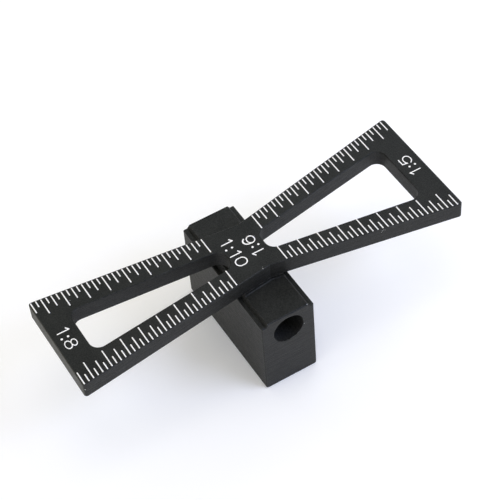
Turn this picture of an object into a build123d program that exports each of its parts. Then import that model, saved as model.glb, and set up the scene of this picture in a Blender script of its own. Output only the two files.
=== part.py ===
from build123d import *
import math
import os

# Dovetail marker: a flat bow-tie blade machined in one piece with the cross block
# that carries it. X runs along the blade, Y along the block, Z up.
# The origin lies on the block's underside, at its middle. Sizes are in millimetres.

# Blade
blade_thickness = 3.6
left_reach = 40.25
right_reach = 40.25
waist_width = 11.86
waist_x = 1.78
blade_corner_radius = 0.6
edge_break = 0.1

# Slopes, given as run to one of rise
left_outer_ratio = 8.0
right_outer_ratio = 5.0
left_window_ratio = 10.0
right_window_ratio = 6.0

# Windows through the wings, narrow end at the waist
left_end_bar = 5.3
right_end_bar = 5.2
left_window_root = 4.55
right_window_root = 4.85
window_middle_y = -0.12
waist_bridge = 7.8
window_corner_radius = 2.0

# Cross block under the waist
block_width = 11.35
block_length = 29.5
block_height = 19.15
ledge_width = 0.85
ledge_drop = 0.7
ledge_slope_run = 0.5
ledge_break = 0.12
block_foot_radius = 0.5
block_end_break = 0.2

# Neck that holds the blade clear of the block
neck_height = 0.8
neck_toe = 0.12

# Bore along the block
bore_diameter = 6.4
bore_roof = 1.0
bore_chamfer = 0.1

# Graduations on the blade's top face
tick_pitch = 1.0
first_tick_x = 5.54
tick_middle_x = -0.27
tick_end_margin = 0.3
tick_edge_margin = 0.2
tick_width = 0.36
tick_depth = 0.08
long_tick = 4.1
medium_tick = 3.0
short_tick = 1.85

# Heights and widths that follow from the sizes above
blade_underside = block_height + neck_height
blade_top = blade_underside + blade_thickness
land_width = block_width - 2 * (ledge_width + ledge_slope_run)
bore_height = block_height - bore_roof - bore_diameter / 2


def left_half_width(x):
    """Half the blade's width at x, where the left wing widens from the waist."""
    return waist_width / 2 + (waist_x - x) / left_outer_ratio


def right_half_width(x):
    """Half the blade's width at x, where the right wing widens from the waist."""
    return waist_width / 2 + (x - waist_x) / right_outer_ratio


def blade_outline():
    """The bow-tie outline of the blade, square ended."""
    far_side = [
        (-left_reach, left_half_width(-left_reach)),
        (waist_x, waist_width / 2),
        (right_reach, right_half_width(right_reach)),
    ]
    near_side = [(x, -y) for x, y in reversed(far_side)]
    return make_face(Polyline(*far_side, *near_side, close=True))


def window_outline(side, reach, end_bar, root_width, ratio):
    """One tapered window; side is -1 for the left wing and 1 for the right one."""
    outer_x = reach - end_bar
    inner_x = waist_bridge / 2
    inner_y = root_width / 2
    outer_y = inner_y + (outer_x - inner_x) / ratio
    corners = [
        (side * inner_x, inner_y),
        (side * outer_x, outer_y),
        (side * outer_x, -outer_y),
        (side * inner_x, -inner_y),
    ]
    window = make_face(Polyline(*corners, close=True))
    window = fillet(window.vertices(), window_corner_radius)
    return Pos(0, window_middle_y) * window


def make_blade():
    """The plate with rounded ends, both windows and broken edges."""
    outline = blade_outline()
    end_corners = outline.vertices().sort_by(Axis.X)
    outline = fillet(end_corners[:2] + end_corners[-2:], blade_corner_radius)
    outline -= window_outline(-1, left_reach, left_end_bar, left_window_root, left_window_ratio)
    outline -= window_outline(1, right_reach, right_end_bar, right_window_root, right_window_ratio)
    plate = extrude(Pos(0, 0, blade_underside) * outline, blade_thickness)
    rims = plate.faces().sort_by(Axis.Z)
    return chamfer(rims[0].edges() + rims[-1].edges(), edge_break)


def make_block():
    """The cross block: a stepped section run along Y, with eased ends."""
    half_width = block_width / 2
    ledge_height = block_height - ledge_drop
    right_side = [
        (half_width, 0),
        (half_width, ledge_height - ledge_break),
        (half_width - ledge_break, ledge_height),
        (half_width - ledge_width, ledge_height),
        (land_width / 2, block_height),
    ]
    left_side = [(-x, z) for x, z in reversed(right_side)]
    section = make_face(Polyline(*right_side, *left_side, close=True))
    feet = section.vertices().group_by(Axis.Y)[0]
    section = fillet(feet, block_foot_radius)
    block = extrude(Plane.XZ * section, block_length / 2, both=True)
    ends = block.faces().sort_by(Axis.Y)
    return chamfer(ends[0].edges() + ends[-1].edges(), block_end_break)


def make_neck():
    """The blade's waist carried down to the block, with a small sloped toe on both sides."""
    span = Rectangle(land_width, block_length)
    waist = blade_outline() & span
    neck = extrude(Pos(0, 0, block_height) * waist, neck_height)
    foot = offset(waist, neck_toe, kind=Kind.INTERSECTION) & span
    toe = loft([Pos(0, 0, block_height) * foot, Pos(0, 0, block_height + neck_toe) * waist])
    return neck + toe


def make_bore():
    """The round bore through the block's length, with a chamfer at both mouths."""
    hole = Cylinder(bore_diameter / 2, block_length + 2, rotation=(90, 0, 0))
    mouth = Cone(
        bore_diameter / 2 + 2 * bore_chamfer,
        bore_diameter / 2,
        2 * bore_chamfer,
        rotation=(90, 0, 0),
    )
    cutter = hole + Pos(0, -block_length / 2, 0) * mouth
    cutter += mirror(cutter, Plane.XZ)
    return Pos(0, 0, bore_height) * cutter


def tick_length(index):
    """Every fourth mark is long, the one half-way between is medium, the rest are short."""
    if index % 4 == 0:
        return long_tick
    if index % 2 == 0:
        return medium_tick
    return short_tick


def make_graduations():
    """Shallow grooves across both wings, set in from the outer edges at an even pitch."""
    grooves = []
    wings = ((-1, left_reach, left_half_width), (1, right_reach, right_half_width))
    for side, reach, half_width in wings:
        first_x = first_tick_x + side * tick_middle_x
        count = math.floor((reach - first_x - tick_end_margin) / tick_pitch) + 1
        for index in range(count):
            x = side * (first_x + index * tick_pitch)
            length = tick_length(index)
            y = half_width(x) - tick_edge_margin - length / 2
            groove = Box(tick_width, length, 2 * tick_depth)
            grooves.append(Pos(x, y, blade_top) * groove)
            grooves.append(Pos(x, -y, blade_top) * groove)
    return grooves


def make_marker():
    """The whole marker as one solid."""
    body = make_block() + make_neck() + make_blade()
    body -= make_bore()
    body -= make_graduations()
    return body


marker = make_marker()
os.makedirs("parts", exist_ok=True)
export_step(marker, "parts/marker_body.step")
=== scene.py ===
import math
import bmesh
import bpy
from mathutils import Matrix, Vector


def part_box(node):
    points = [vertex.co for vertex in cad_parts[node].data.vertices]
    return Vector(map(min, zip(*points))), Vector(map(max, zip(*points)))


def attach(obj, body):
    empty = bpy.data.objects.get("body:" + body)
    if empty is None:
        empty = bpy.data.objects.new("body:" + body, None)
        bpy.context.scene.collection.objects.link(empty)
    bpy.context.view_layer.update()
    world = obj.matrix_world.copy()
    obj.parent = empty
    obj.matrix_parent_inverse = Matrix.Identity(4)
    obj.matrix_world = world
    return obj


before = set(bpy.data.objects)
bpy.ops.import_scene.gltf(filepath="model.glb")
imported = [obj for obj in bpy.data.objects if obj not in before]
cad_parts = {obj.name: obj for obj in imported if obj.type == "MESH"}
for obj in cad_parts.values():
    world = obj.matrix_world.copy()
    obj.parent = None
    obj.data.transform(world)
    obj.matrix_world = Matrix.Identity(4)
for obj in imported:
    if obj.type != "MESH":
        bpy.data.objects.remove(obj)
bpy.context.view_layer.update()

mm = 0.001  # lengths below are in millimetres, the scales of textures are per metre

scene = bpy.context.scene
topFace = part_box("marker_body")[1].z / mm  # height of the blade's marked face


# Shared node helpers

def addNode(tree, kind, label, **settings):
    node = tree.nodes.new(kind)
    node.label = label
    for name, value in settings.items():
        setattr(node, name, value)
    return node


def setInputs(node, **values):
    for name, value in values.items():
        node.inputs[name].default_value = value


def setRange(node, ends):
    setInputs(node, **{"From Min": ends[0], "From Max": ends[1]})


def newMaterial(name):
    material = bpy.data.materials.new(name)
    material.use_nodes = True
    material.node_tree.nodes.clear()
    return material, material.node_tree


def newGroup(name, inputs, outputs):
    group = bpy.data.node_groups.new(name, "ShaderNodeTree")
    for label in inputs:
        group.interface.new_socket(label, in_out="INPUT", socket_type="NodeSocketFloat")
    for label in outputs:
        group.interface.new_socket(label, in_out="OUTPUT", socket_type="NodeSocketFloat")
    return group, group.nodes.new("NodeGroupInput"), group.nodes.new("NodeGroupOutput")


# Fine blasted grain: an even speckle for the tone, broad blotches and a height for the bump
grainSettings = {
    "detail": 3.0,
    "roughness": 0.6,
    "speckleRange": (0.40, 0.60),
    "blotchDetail": 4.0,
    "blotchRoughness": 0.55,
    "pitShare": 0.4,  # how much the shot pits add to the height of the grain
}


def makeGrainGroup():
    g = grainSettings
    group, given, result = newGroup(
        "blastedGrain", ["Scale", "Blotch Scale"], ["Speckle", "Blotch", "Height"]
    )
    place = addNode(group, "ShaderNodeTexCoord", "place")
    fine = addNode(group, "ShaderNodeTexNoise", "grain")
    setInputs(fine, Detail=g["detail"], Roughness=g["roughness"])
    spread = addNode(group, "ShaderNodeMapRange", "speckle contrast")
    setRange(spread, g["speckleRange"])
    broad = addNode(group, "ShaderNodeTexNoise", "blotches")
    setInputs(broad, Detail=g["blotchDetail"], Roughness=g["blotchRoughness"])
    pits = addNode(group, "ShaderNodeTexVoronoi", "shot pits")
    mixed = addNode(group, "ShaderNodeMath", "pits and grain", operation="MULTIPLY_ADD")
    mixed.inputs[1].default_value = g["pitShare"]
    links = group.links
    for texture in (fine, pits, broad):
        links.new(place.outputs["Object"], texture.inputs["Vector"])
    links.new(given.outputs["Scale"], fine.inputs["Scale"])
    links.new(given.outputs["Scale"], pits.inputs["Scale"])
    links.new(given.outputs["Blotch Scale"], broad.inputs["Scale"])
    links.new(pits.outputs["Distance"], mixed.inputs[0])
    links.new(fine.outputs["Fac"], mixed.inputs[2])
    links.new(fine.outputs["Fac"], spread.inputs["Value"])
    links.new(spread.outputs["Result"], result.inputs["Speckle"])
    links.new(broad.outputs["Fac"], result.inputs["Blotch"])
    links.new(mixed.outputs[0], result.inputs["Height"])
    return group


# Edge mask: white in patches where the surface turns sharply within the given radius; it paints edge
# wear together with a painted highlight along the edges
edgeSettings = {
    "samples": 6,
    "turnRange": (0.995, 0.86),  # likeness of the true and the rounded normal, from flat to sharp
    "patchDetail": 4.0,
    "patchRoughness": 0.65,
    "patchRange": (0.42, 0.66),
}


def makeEdgeGroup():
    e = edgeSettings
    group, given, result = newGroup("edgeWearAndPaintedHighlight", ["Radius", "Patch Scale", "Amount"], ["Mask"])
    place = addNode(group, "ShaderNodeTexCoord", "place")
    surface = addNode(group, "ShaderNodeNewGeometry", "surface")
    rounded = addNode(group, "ShaderNodeBevel", "rounded normal", samples=e["samples"])
    likeness = addNode(group, "ShaderNodeVectorMath", "likeness", operation="DOT_PRODUCT")
    turn = addNode(group, "ShaderNodeMapRange", "sharp turn")
    setRange(turn, e["turnRange"])
    patches = addNode(group, "ShaderNodeTexNoise", "wear and highlight patches")
    setInputs(patches, Detail=e["patchDetail"], Roughness=e["patchRoughness"])
    patchy = addNode(group, "ShaderNodeMapRange", "patchy")
    setRange(patchy, e["patchRange"])
    patchyWearAndHighlight = addNode(group, "ShaderNodeMath", "patchy wear and highlight on the edge", operation="MULTIPLY")
    scaled = addNode(group, "ShaderNodeMath", "amount", operation="MULTIPLY", use_clamp=True)
    links = group.links
    links.new(given.outputs["Radius"], rounded.inputs["Radius"])
    links.new(rounded.outputs["Normal"], likeness.inputs[0])
    links.new(surface.outputs["Normal"], likeness.inputs[1])
    links.new(likeness.outputs["Value"], turn.inputs["Value"])
    links.new(place.outputs["Object"], patches.inputs["Vector"])
    links.new(given.outputs["Patch Scale"], patches.inputs["Scale"])
    links.new(patches.outputs["Fac"], patchy.inputs["Value"])
    links.new(turn.outputs["Result"], patchyWearAndHighlight.inputs[0])
    links.new(patchy.outputs["Result"], patchyWearAndHighlight.inputs[1])
    links.new(patchyWearAndHighlight.outputs[0], scaled.inputs[0])
    links.new(given.outputs["Amount"], scaled.inputs[1])
    links.new(scaled.outputs[0], result.inputs["Mask"])
    return group


grainGroup = makeGrainGroup()
edgeGroup = makeEdgeGroup()


# Black anodised aluminium
anodised = {
    "dark": (0.0022, 0.0026, 0.0022, 1),
    "light": (0.0192, 0.0200, 0.0180, 1),
    # pale colour for the edges: partly bare metal where worn, partly a painted highlight
    "bareAndHighlight": (0.16, 0.165, 0.16, 1),
    "roughness": (0.46, 0.62),
    "ior": 1.40,
    "grainScale": 4200.0,
    "blotchScale": 700.0,
    "bumpDepth": 0.036,
    "bumpStrength": 1.0,
    "edgeRadius": 0.12,
    "edgePatchScale": 900.0,
    "edgeAmount": 0.55,
}
# Long level lines of the cutter on the upright faces
streakSettings = {
    "stretch": (110, 110, 2700),
    "detail": 3.0,
    "roughness": 0.6,
    "contrast": (0.36, 0.64),
    "tone": 0.35,
    "height": 0.55,
}
# The blade's two cut ends get a painted reflection of the pale floor: this is added to the tone beyond
# a distance from the middle
paintedEndReflection = {"colour": (0.034, 0.034, 0.026, 1), "from": 40.12}
# The cross bore runs along Y through its axis, and its wall is duller than the skin
bore = {"axis": (0, 0, 14.95), "radius": 3.25, "roughness": 0.95}
# Bright specks where the skin is knocked off: place and radius
nickSettings = {
    "colour": (0.42, 0.43, 0.42, 1),
    "raggedScale": 6000.0,
    "raggedDetail": 1.0,
    "raggedShift": 0.12,
    "core": 0.7,  # share of the radius that is fully bright
}
nicks = [
    ((0.22, -5.98, 23.52), 0.11),
    ((0.36, -5.62, 23.55), 0.06),
    ((-40.00, -11.06, 22.05), 0.16),
    ((-33.33, 7.43, 23.55), 0.08),
    ((9.58, 3.24, 23.52), 0.10),
    ((23.80, -10.33, 22.70), 0.08),
    ((23.92, -10.36, 23.05), 0.10),
    ((24.22, -10.42, 23.22), 0.10),
    ((24.50, -10.47, 23.12), 0.07),
    ((4.30, -14.62, 19.10), 0.11),
    ((3.36, -14.75, 14.05), 0.09),
]


# Level streaks of the cutter, stretched noise on the piece's own coordinates
def addStreaks(tree, place):
    s = streakSettings
    stretch = addNode(tree, "ShaderNodeMapping", "stretch")
    stretch.inputs["Scale"].default_value = s["stretch"]
    streaks = addNode(tree, "ShaderNodeTexNoise", "cutter streaks")
    setInputs(streaks, Scale=1.0, Detail=s["detail"], Roughness=s["roughness"])
    contrast = addNode(tree, "ShaderNodeMapRange", "streak contrast")
    setRange(contrast, s["contrast"])
    tree.links.new(place.outputs["Object"], stretch.inputs["Vector"])
    tree.links.new(stretch.outputs["Vector"], streaks.inputs["Vector"])
    tree.links.new(streaks.outputs["Fac"], contrast.inputs["Value"])
    return contrast.outputs["Result"]


# One mask for all the nicks: white inside each small ball, with a ragged rim
def addNicks(tree, place):
    n = nickSettings
    ragged = addNode(tree, "ShaderNodeTexNoise", "ragged")
    setInputs(ragged, Scale=n["raggedScale"], Detail=n["raggedDetail"])
    shift = addNode(tree, "ShaderNodeVectorMath", "ragged shift", operation="SCALE")
    setInputs(shift, Scale=n["raggedShift"] * mm)
    moved = addNode(tree, "ShaderNodeVectorMath", "moved", operation="ADD")
    tree.links.new(place.outputs["Object"], ragged.inputs["Vector"])
    tree.links.new(ragged.outputs["Color"], shift.inputs[0])
    tree.links.new(place.outputs["Object"], moved.inputs[0])
    tree.links.new(shift.outputs["Vector"], moved.inputs[1])
    meanShift = n["raggedShift"] / 2  # the noise is about a half on average
    mask = None
    for spot, radius in nicks:
        away = addNode(tree, "ShaderNodeVectorMath", "from the nick", operation="DISTANCE")
        away.inputs[1].default_value = [(v + meanShift) * mm for v in spot]
        inside = addNode(tree, "ShaderNodeMapRange", "inside")
        setRange(inside, (radius * mm, radius * mm * n["core"]))
        tree.links.new(moved.outputs["Vector"], away.inputs[0])
        tree.links.new(away.outputs["Value"], inside.inputs["Value"])
        if mask is None:
            mask = inside.outputs["Result"]
            continue
        either = addNode(tree, "ShaderNodeMath", "either", operation="MAXIMUM")
        tree.links.new(mask, either.inputs[0])
        tree.links.new(inside.outputs["Result"], either.inputs[1])
        mask = either.outputs[0]
    return mask


# White on the blade's two cut ends, where the painted reflection goes
def addPaintedEndReflectionMask(tree, place):
    split = addNode(tree, "ShaderNodeSeparateXYZ", "along the blade")
    outward = addNode(tree, "ShaderNodeMath", "from the middle", operation="ABSOLUTE")
    atEnd = addNode(tree, "ShaderNodeMath", "at the end", operation="GREATER_THAN")
    atEnd.inputs[1].default_value = paintedEndReflection["from"] * mm
    tree.links.new(place.outputs["Object"], split.inputs[0])
    tree.links.new(split.outputs["X"], outward.inputs[0])
    tree.links.new(outward.outputs[0], atEnd.inputs[0])
    return atEnd.outputs[0]


# White inside the bore
def addBoreMask(tree, place):
    lowered = addNode(tree, "ShaderNodeVectorMath", "from the axis", operation="SUBTRACT")
    lowered.inputs[1].default_value = [v * mm for v in bore["axis"]]
    flat = addNode(tree, "ShaderNodeVectorMath", "across the axis", operation="MULTIPLY")
    flat.inputs[1].default_value = (1, 0, 1)
    away = addNode(tree, "ShaderNodeVectorMath", "distance", operation="LENGTH")
    inside = addNode(tree, "ShaderNodeMath", "in the bore", operation="LESS_THAN")
    inside.inputs[1].default_value = bore["radius"] * mm
    tree.links.new(place.outputs["Object"], lowered.inputs[0])
    tree.links.new(lowered.outputs["Vector"], flat.inputs[0])
    tree.links.new(flat.outputs["Vector"], away.inputs[0])
    tree.links.new(away.outputs["Value"], inside.inputs[0])
    return inside.outputs[0]


# Colour of the skin: grain and streaks, then a painted reflection on the cut ends, worn edges with a
# painted highlight, and nicks over it
def addSkinColour(tree, place, grain, streaks):
    links = tree.links
    patchy = addNode(tree, "ShaderNodeMix", "grain and streaks")
    patchy.inputs[0].default_value = streakSettings["tone"]
    tone = addNode(tree, "ShaderNodeMix", "tone", data_type="RGBA")
    tone.inputs[6].default_value = anodised["dark"]
    tone.inputs[7].default_value = anodised["light"]
    # painted reflection: the end faces are made paler in colour for the floor they mirror
    ended = addNode(tree, "ShaderNodeMix", "painted reflection on the cut ends", data_type="RGBA", blend_type="ADD")
    ended.inputs[7].default_value = paintedEndReflection["colour"]
    edgeWearAndHighlightMask = addNode(tree, "ShaderNodeGroup", "edge wear and painted highlight", node_tree=edgeGroup)
    setInputs(edgeWearAndHighlightMask, Radius=anodised["edgeRadius"] * mm, Amount=anodised["edgeAmount"])
    edgeWearAndHighlightMask.inputs["Patch Scale"].default_value = anodised["edgePatchScale"]
    # edge colour: partly bare metal where worn, partly a painted highlight that the edges catch
    wearAndHighlightMix = addNode(tree, "ShaderNodeMix", "edges with wear and painted highlight", data_type="RGBA")
    wearAndHighlightMix.inputs[7].default_value = anodised["bareAndHighlight"]
    nicked = addNode(tree, "ShaderNodeMix", "nicks", data_type="RGBA")
    nicked.inputs[7].default_value = nickSettings["colour"]
    links.new(grain.outputs["Speckle"], patchy.inputs[2])
    links.new(streaks, patchy.inputs[3])
    links.new(patchy.outputs[0], tone.inputs[0])
    links.new(tone.outputs[2], ended.inputs[6])
    links.new(addPaintedEndReflectionMask(tree, place), ended.inputs[0])
    links.new(ended.outputs[2], wearAndHighlightMix.inputs[6])
    links.new(edgeWearAndHighlightMask.outputs["Mask"], wearAndHighlightMix.inputs[0])
    links.new(wearAndHighlightMix.outputs[2], nicked.inputs[6])
    links.new(addNicks(tree, place), nicked.inputs[0])
    return nicked.outputs[2]


def makeAnodised():
    material, tree = newMaterial("blackAnodised")
    links = tree.links
    output = addNode(tree, "ShaderNodeOutputMaterial", "surface out")
    shader = addNode(tree, "ShaderNodeBsdfPrincipled", "anodised skin")
    setInputs(shader, IOR=anodised["ior"])
    place = addNode(tree, "ShaderNodeTexCoord", "place")
    grain = addNode(tree, "ShaderNodeGroup", "blasted grain", node_tree=grainGroup)
    setInputs(grain, Scale=anodised["grainScale"])
    grain.inputs["Blotch Scale"].default_value = anodised["blotchScale"]
    streaks = addStreaks(tree, place)
    rough = addNode(tree, "ShaderNodeMapRange", "roughness")
    smoothest, roughest = anodised["roughness"]
    setInputs(rough, **{"To Min": smoothest, "To Max": roughest})
    bored = addNode(tree, "ShaderNodeMix", "duller in the bore")
    bored.inputs[3].default_value = bore["roughness"]
    height = addNode(tree, "ShaderNodeMath", "grain and streak height", operation="MULTIPLY_ADD")
    height.inputs[1].default_value = streakSettings["height"]
    bump = addNode(tree, "ShaderNodeBump", "grain bump")
    setInputs(bump, Strength=anodised["bumpStrength"], Distance=anodised["bumpDepth"] * mm)
    links.new(addSkinColour(tree, place, grain, streaks), shader.inputs["Base Color"])
    links.new(grain.outputs["Blotch"], rough.inputs["Value"])
    links.new(rough.outputs["Result"], bored.inputs[2])
    links.new(addBoreMask(tree, place), bored.inputs[0])
    links.new(bored.outputs[0], shader.inputs["Roughness"])
    links.new(streaks, height.inputs[0])
    links.new(grain.outputs["Height"], height.inputs[2])
    links.new(height.outputs[0], bump.inputs["Height"])
    links.new(bump.outputs["Normal"], shader.inputs["Normal"])
    links.new(shader.outputs["BSDF"], output.inputs["Surface"])
    return material


# White of the graduations and numerals
marking = {
    "bright": (0.97, 0.97, 0.97, 1),
    "dull": (0.88, 0.89, 0.89, 1),
    "grainScale": 7000.0,
    "brightRange": (0.3, 0.5),
    "roughness": 0.6,
}


def makeMarking():
    material, tree = newMaterial("whiteMarking")
    links = tree.links
    output = addNode(tree, "ShaderNodeOutputMaterial", "surface out")
    shader = addNode(tree, "ShaderNodeBsdfPrincipled", "white fill")
    setInputs(shader, Roughness=marking["roughness"])
    grain = addNode(tree, "ShaderNodeGroup", "blasted grain", node_tree=grainGroup)
    setInputs(grain, Scale=marking["grainScale"])
    tone = addNode(tree, "ShaderNodeMix", "tone", data_type="RGBA")
    tone.inputs[6].default_value = marking["dull"]
    tone.inputs[7].default_value = marking["bright"]
    spread = addNode(tree, "ShaderNodeMapRange", "mostly bright")
    setRange(spread, marking["brightRange"])
    links.new(grain.outputs["Speckle"], spread.inputs["Value"])
    links.new(spread.outputs["Result"], tone.inputs[0])
    links.new(tone.outputs[2], shader.inputs["Base Color"])
    links.new(shader.outputs["BSDF"], output.inputs["Surface"])
    return material


blackAnodised = makeAnodised()
whiteMarking = makeMarking()
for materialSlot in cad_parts["marker_body"].material_slots:
    materialSlot.material = blackAnodised
print("materials ready")


# Marks: straight strokes are round-ended bars and curved ones are tubes, flattened into the top face
markShape = {
    "sides": 8,
    "rings": 7,
    "arcStep": 12,  # degrees of turn for each step of a curved stroke
    "fewestSteps": 6,
    "weld": 0.0004,
}


def addCapsule(bm, start, end, width, depth):
    start = Vector(start)
    end = Vector(end)
    run = (end - start).length
    rise, sink = depth
    made = bmesh.ops.create_uvsphere(
        bm, u_segments=markShape["sides"], v_segments=markShape["rings"], radius=width / 2
    )
    upper = [v for v in made["verts"] if v.co.z > 0]
    bmesh.ops.translate(bm, verts=upper, vec=(0, 0, run))
    lay = Matrix.Rotation(math.radians(-90), 4, "X")
    flat = Matrix.Diagonal((1, 1, (rise + sink) / width, 1))
    heading = math.atan2(end.y - start.y, end.x - start.x) - math.pi / 2
    turn = Matrix.Rotation(heading, 4, "Z")
    place = Matrix.Translation((start.x, start.y, topFace + (rise - sink) / 2))
    bmesh.ops.transform(bm, matrix=place @ turn @ flat @ lay, verts=made["verts"])


# Every vertex that is joined to the given ones by edges
def joinedTo(verts):
    found = set(verts)
    added = found
    while added:
        added = {e.other_vert(v) for v in found for e in v.link_edges} - found
        found = found | added
    return list(found)


# A tube spun about the centre, then stretched to the oval and turned to the text's direction
def addArc(bm, centre, radii, angles, width, depth, textTurn):
    rise, sink = depth
    fromAngle, toAngle = angles
    swept = toAngle - fromAngle
    made = bmesh.ops.create_circle(bm, cap_ends=True, segments=markShape["sides"], radius=width / 2)
    upright = Matrix.Rotation(math.radians(90), 4, "X")
    out = Matrix.Translation((radii[0], 0, 0))
    bmesh.ops.transform(bm, matrix=out @ upright, verts=made["verts"])
    first = Matrix.Rotation(math.radians(fromAngle), 4, "Z")
    bmesh.ops.transform(bm, matrix=first, verts=made["verts"])
    faces = list({f for v in made["verts"] for f in v.link_faces})
    edges = list({e for f in faces for e in f.edges})
    bmesh.ops.spin(
        bm,
        geom=made["verts"] + edges + faces,
        cent=(0, 0, 0),
        axis=(0, 0, 1),
        angle=math.radians(swept),
        steps=max(markShape["fewestSteps"], round(swept / markShape["arcStep"])),
        use_merge=swept >= 360,
    )
    oval = Matrix.Diagonal((1, radii[1] / radii[0], (rise + sink) / width, 1))
    place = Matrix.Translation((centre[0], centre[1], topFace + (rise - sink) / 2))
    bmesh.ops.transform(bm, matrix=place @ textTurn @ oval, verts=joinedTo(made["verts"]))


def finishMark(bm, name):
    bmesh.ops.remove_doubles(bm, verts=bm.verts[:], dist=markShape["weld"])
    bmesh.ops.recalc_face_normals(bm, faces=bm.faces[:])
    bmesh.ops.scale(bm, vec=(mm, mm, mm), verts=bm.verts[:])
    mesh = bpy.data.meshes.new(name)
    bm.to_mesh(mesh)
    bm.free()
    mesh.materials.append(whiteMarking)
    mesh.polygons.foreach_set("use_smooth", [True] * len(mesh.polygons))
    piece = bpy.data.objects.new(name, mesh)
    scene.collection.objects.link(piece)
    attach(piece, "root")


# Graduations, in the grooves of the blade's top face. Rows start and end at distances from the edge
graduation = {
    "firstX": 5.54,
    "middleX": -0.27,
    "pitch": 1.0,
    "count": 35,
    "waistX": 1.78,
    "waistHalf": 5.93,
    "leftRatio": 8.0,
    "rightRatio": 5.0,
    "nearRow": {"start": 0.17, "long": 4.36, "medium": 3.24, "short": 2.05},
    "farRow": {"start": 0.14, "long": 4.02, "medium": 2.92, "short": 1.76},
    "width": 0.26,
    "depth": (0.005, 0.085),  # above and below the top face
}


def markEnd(row, index):
    if index % 4 == 0:
        return row["long"]
    if index % 2 == 0:
        return row["medium"]
    return row["short"]


def makeGraduations(wing, ratio, name):
    g = graduation
    bm = bmesh.new()
    for index in range(g["count"]):
        x = g["middleX"] + wing * (g["firstX"] + index * g["pitch"])
        edgeY = g["waistHalf"] + abs(x - g["waistX"]) / ratio
        for side, row in ((-1, g["nearRow"]), (1, g["farRow"])):
            outerY = edgeY - row["start"] - g["width"] / 2
            innerY = edgeY - markEnd(row, index) + g["width"] / 2
            addCapsule(bm, (x, side * outerY), (x, side * innerY), g["width"], g["depth"])
    finishMark(bm, name)


makeGraduations(-1, graduation["leftRatio"], "graduationsLeft")
makeGraduations(1, graduation["rightRatio"], "graduationsRight")
print("graduations ready")


# Ratio numerals. Each glyph is drawn upright round its own middle: u to the right, v up
numeral = {
    "height": 2.32,
    "width": 0.325,
    "dotWidth": 0.60,
    "depth": (0.005, 0.020),  # above and below the top face
}
tall = numeral["height"]
# A line has two ends, a dot its place, and an arc its centre, two radii and two angles
strokes = {
    "1": [
        ("line", (0, 0), (0, tall)),
        ("line", (0, tall), (-0.58, tall - 0.42)),
    ],
    ":": [
        ("dot", (0, 0.16)),
        ("dot", (0, 1.44)),
    ],
    "0": [
        ("arc", (0, tall - 0.92), (0.92, 0.89), (0, 180)),
        ("arc", (0, 0.92), (0.92, 0.89), (180, 360)),
        ("line", (0.92, 0.92), (0.92, tall - 0.92)),
        ("line", (-0.92, 0.92), (-0.92, tall - 0.92)),
    ],
    "8": [
        ("arc", (0, 0.62), (0.93, 0.62), (0, 360)),
        ("arc", (0, 1.77), (0.77, 0.53), (0, 360)),
    ],
    "6": [
        ("arc", (0, 0.78), (0.88, 0.78), (0, 360)),
        ("arc", (0.02, 1.2), (0.90, 1.16), (36, 192)),
    ],
    "5": [
        ("line", (0.76, 2.30), (-0.62, 2.28)),
        ("line", (-0.62, 2.28), (-0.82, 1.26)),
        ("arc", (0, 0.80), (0.98, 0.80), (-160, 124)),
        ("line", (-0.82, 1.26), (-0.54, 1.46)),
    ],
}
# Where each label's baseline lies, which way it reads and where each glyph stands along it.
# With tops 1 it reads towards -Y and the digits' tops point to +X, with tops -1 it is turned half round
labels = {
    "numeralsOneEight": {
        "baseX": -38.86, "tops": 1, "glyphs": [("1", -1.63), (":", -0.21), ("8", 1.57)],
    },
    "numeralsOneTen": {
        "baseX": -3.38, "tops": 1, "glyphs": [("1", -3.05), (":", -1.62), ("1", 0.27), ("0", 2.26)],
    },
    "numeralsOneSix": {
        "baseX": 2.77, "tops": -1, "glyphs": [("1", -1.86), (":", -0.42), ("6", 1.43)],
    },
    "numeralsOneFive": {
        "baseX": 38.68, "tops": -1, "glyphs": [("1", -1.49), (":", -0.02), ("5", 1.75)],
    },
}


def addGlyph(bm, glyph, along, baseX, turn):
    def placed(u, v):
        spot = turn @ Vector((along + u, v, 0))
        return baseX + spot.x, spot.y

    width = numeral["width"]
    depth = numeral["depth"]
    for kind, *shape in strokes[glyph]:
        if kind == "line":
            addCapsule(bm, placed(*shape[0]), placed(*shape[1]), width, depth)
        elif kind == "dot":
            addCapsule(bm, placed(*shape[0]), placed(*shape[0]), numeral["dotWidth"], depth)
        else:
            centre, radii, angles = shape
            addArc(bm, placed(*centre), radii, angles, width, depth, turn)
            if angles[1] - angles[0] < 360:
                for angle in angles:  # a round end
                    u = centre[0] + radii[0] * math.cos(math.radians(angle))
                    v = centre[1] + radii[1] * math.sin(math.radians(angle))
                    addCapsule(bm, placed(u, v), placed(u, v), width, depth)


def makeLabel(name, label):
    turn = Matrix.Rotation(math.radians(-90 * label["tops"]), 4, "Z")
    bm = bmesh.new()
    for glyph, along in label["glyphs"]:
        addGlyph(bm, glyph, along, label["baseX"], turn)
    finishMark(bm, name)


for labelName, labelSettings in labels.items():
    makeLabel(labelName, labelSettings)
print("numerals ready")


# Floor of pale paper
floorSettings = {
    "size": 6000,
    "colour": (0.92, 0.92, 0.92, 1),
    "roughness": 0.9,
    "lift": 0.12,  # glow that only the camera and mirrored rays see
    "liftColour": (0.88, 1.0, 1.22, 1),
    "farLift": 0.55,  # more glow for the camera far out, where the lamps no longer reach
    "farRange": (200, 1000),
}


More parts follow.
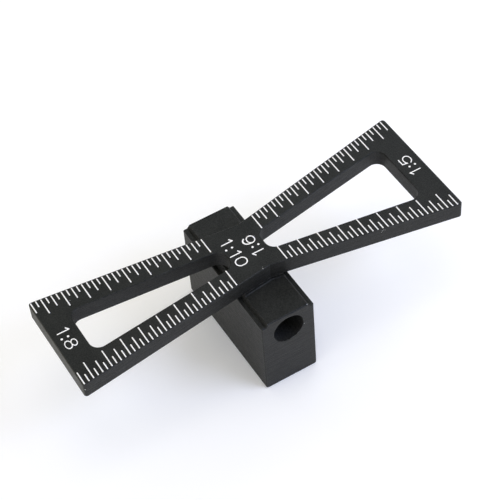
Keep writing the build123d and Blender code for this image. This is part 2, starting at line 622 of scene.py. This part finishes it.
def makePaper():
    f = floorSettings
    material, tree = newMaterial("palePaper")
    links = tree.links
    output = addNode(tree, "ShaderNodeOutputMaterial", "surface out")
    shader = addNode(tree, "ShaderNodeBsdfPrincipled", "paper")
    setInputs(shader, **{
        "Base Color": f["colour"],
        "Roughness": f["roughness"],
        "Specular IOR Level": 0.0,
        "Emission Color": f["liftColour"],
    })
    path = addNode(tree, "ShaderNodeLightPath", "ray kind")
    seen = addNode(tree, "ShaderNodeMath", "seen or mirrored", operation="MAXIMUM")
    lift = addNode(tree, "ShaderNodeMath", "lift", operation="MULTIPLY")
    lift.inputs[1].default_value = f["lift"]
    place = addNode(tree, "ShaderNodeTexCoord", "place")
    reach = addNode(tree, "ShaderNodeVectorMath", "reach", operation="LENGTH")
    far = addNode(tree, "ShaderNodeMapRange", "far from the lamps")
    setRange(far, [v * mm for v in f["farRange"]])
    setInputs(far, **{"To Max": f["farLift"]})
    whole = addNode(tree, "ShaderNodeMath", "with the far lift", operation="MULTIPLY_ADD")
    links.new(path.outputs["Is Camera Ray"], seen.inputs[0])
    links.new(path.outputs["Is Glossy Ray"], seen.inputs[1])
    links.new(seen.outputs[0], lift.inputs[0])
    links.new(place.outputs["Object"], reach.inputs[0])
    links.new(reach.outputs["Value"], far.inputs["Value"])
    links.new(far.outputs["Result"], whole.inputs[0])
    links.new(path.outputs["Is Camera Ray"], whole.inputs[1])
    links.new(lift.outputs[0], whole.inputs[2])
    links.new(whole.outputs[0], shader.inputs["Emission Strength"])
    links.new(shader.outputs["BSDF"], output.inputs["Surface"])
    return material


def makeFloor():
    bm = bmesh.new()
    bmesh.ops.create_grid(bm, x_segments=1, y_segments=1, size=floorSettings["size"] * mm / 2)
    mesh = bpy.data.meshes.new("floor")
    bm.to_mesh(mesh)
    bm.free()
    mesh.materials.append(makePaper())
    floor = bpy.data.objects.new("floor", mesh)
    scene.collection.objects.link(floor)


makeFloor()


# Light: a pale dome that is much darker in gloss and white to the camera, and soft lamps all round
dome = {
    "strength": 0.48,
    "colour": (1.08, 0.98, 0.86, 1),
    "mirrorColour": (0.93, 1.0, 0.90, 1),
    "mirrorStrength": (0.06, 0.11),  # low down and overhead
    "mirrorRange": (0.15, 0.75),
}
lampSize = 420
lampAim = (0, 0, 15)
lamps = {
    "lampRightFront": {"place": (418, -418, 477), "power": 3.1, "colour": (0.60, 0.69, 1.0)},
    "lampLeftFront": {"place": (-459, -459, 390), "power": 0.36, "colour": (0.68, 0.80, 1.0)},
    "lampLeft": {"place": (-462, 0, 606), "power": 0.60, "colour": (1.0, 1.0, 0.82)},
    "lampRight": {"place": (430, 0, 629), "power": 0.50, "colour": (0.95, 1.0, 0.80)},
    "lampRightBack": {"place": (459, 459, 390), "power": 0.98, "colour": (0.82, 0.87, 1.0)},
    "lampBack": {"place": (0, 650, 390), "power": 0.50, "colour": (0.90, 1.0, 0.84)},
    "lampOver": {"place": (0, 0, 765), "power": 0.74, "colour": (1.0, 0.97, 0.96)},
}


def makeDome():
    world = bpy.data.worlds.new("paleDome")
    world.use_nodes = True
    tree = world.node_tree
    tree.nodes.clear()
    links = tree.links
    output = addNode(tree, "ShaderNodeOutputWorld", "world out")
    path = addNode(tree, "ShaderNodeLightPath", "ray kind")
    direction = addNode(tree, "ShaderNodeTexCoord", "direction")
    split = addNode(tree, "ShaderNodeSeparateXYZ", "height")
    rise = addNode(tree, "ShaderNodeMapRange", "brighter overhead")
    low, overhead = dome["mirrorStrength"]
    setRange(rise, dome["mirrorRange"])
    setInputs(rise, **{"To Min": low, "To Max": overhead})
    plain = addNode(tree, "ShaderNodeBackground", "plain light")
    setInputs(plain, Color=dome["colour"], Strength=dome["strength"])
    mirrored = addNode(tree, "ShaderNodeBackground", "seen in gloss")
    setInputs(mirrored, Color=dome["mirrorColour"])
    white = addNode(tree, "ShaderNodeBackground", "seen white")
    setInputs(white, Color=(1, 1, 1, 1), Strength=1.0)
    pickGloss = addNode(tree, "ShaderNodeMixShader", "gloss or light")
    pickSeen = addNode(tree, "ShaderNodeMixShader", "camera or not")
    clear = addNode(tree, "ShaderNodeMath", "camera or clear", operation="MAXIMUM")
    links.new(direction.outputs["Generated"], split.inputs[0])
    links.new(split.outputs["Z"], rise.inputs["Value"])
    links.new(rise.outputs["Result"], mirrored.inputs["Strength"])
    links.new(path.outputs["Is Glossy Ray"], pickGloss.inputs[0])
    links.new(plain.outputs[0], pickGloss.inputs[1])
    links.new(mirrored.outputs[0], pickGloss.inputs[2])
    links.new(path.outputs["Is Camera Ray"], clear.inputs[0])
    links.new(path.outputs["Is Transmission Ray"], clear.inputs[1])
    links.new(clear.outputs[0], pickSeen.inputs[0])
    links.new(pickGloss.outputs[0], pickSeen.inputs[1])
    links.new(white.outputs[0], pickSeen.inputs[2])
    links.new(pickSeen.outputs[0], output.inputs["Surface"])
    scene.world = world


def makeLamp(name, settings):
    data = bpy.data.lights.new(name, "AREA")
    data.shape = "SQUARE"
    data.size = lampSize * mm
    data.energy = settings["power"]
    data.color = settings["colour"]
    lamp = bpy.data.objects.new(name, data)
    lamp.location = Vector(settings["place"]) * mm
    aim = Vector(lampAim) * mm - lamp.location
    lamp.rotation_euler = aim.to_track_quat("-Z", "Y").to_euler()
    scene.collection.objects.link(lamp)


makeDome()
for lampName, lampSettings in lamps.items():
    makeLamp(lampName, lampSettings)
print("light ready")


# Camera at the photograph's angle. Azimuth 0 looks along +Y, and angles are in degrees
cameraSettings = {
    "azimuth": -27.02,
    "elevation": 49.81,
    "roll": -5.33,
    "aim": (1.92, 1.89, 20.0),
    "distance": 321.4,
    "lens": 121.65,
    "sensor": 36,
    "clip": (10, 20000),
}


def makeCamera():
    c = cameraSettings
    azimuth = math.radians(c["azimuth"])
    elevation = math.radians(c["elevation"])
    level = math.cos(elevation)
    away = Vector((math.sin(azimuth) * level, -math.cos(azimuth) * level, math.sin(elevation)))
    data = bpy.data.cameras.new("viewCamera")
    data.lens = c["lens"]
    data.sensor_width = c["sensor"]
    data.clip_start = c["clip"][0] * mm
    data.clip_end = c["clip"][1] * mm
    camera = bpy.data.objects.new("viewCamera", data)
    look = (-away).to_track_quat("-Z", "Y").to_matrix().to_4x4()
    spin = Matrix.Rotation(math.radians(c["roll"]), 4, "Z")
    spot = (Vector(c["aim"]) + away * c["distance"]) * mm
    camera.matrix_world = Matrix.Translation(spot) @ look @ spin
    scene.collection.objects.link(camera)
    scene.camera = camera


makeCamera()
scene.view_settings.view_transform = "Standard"

print("scene ready")
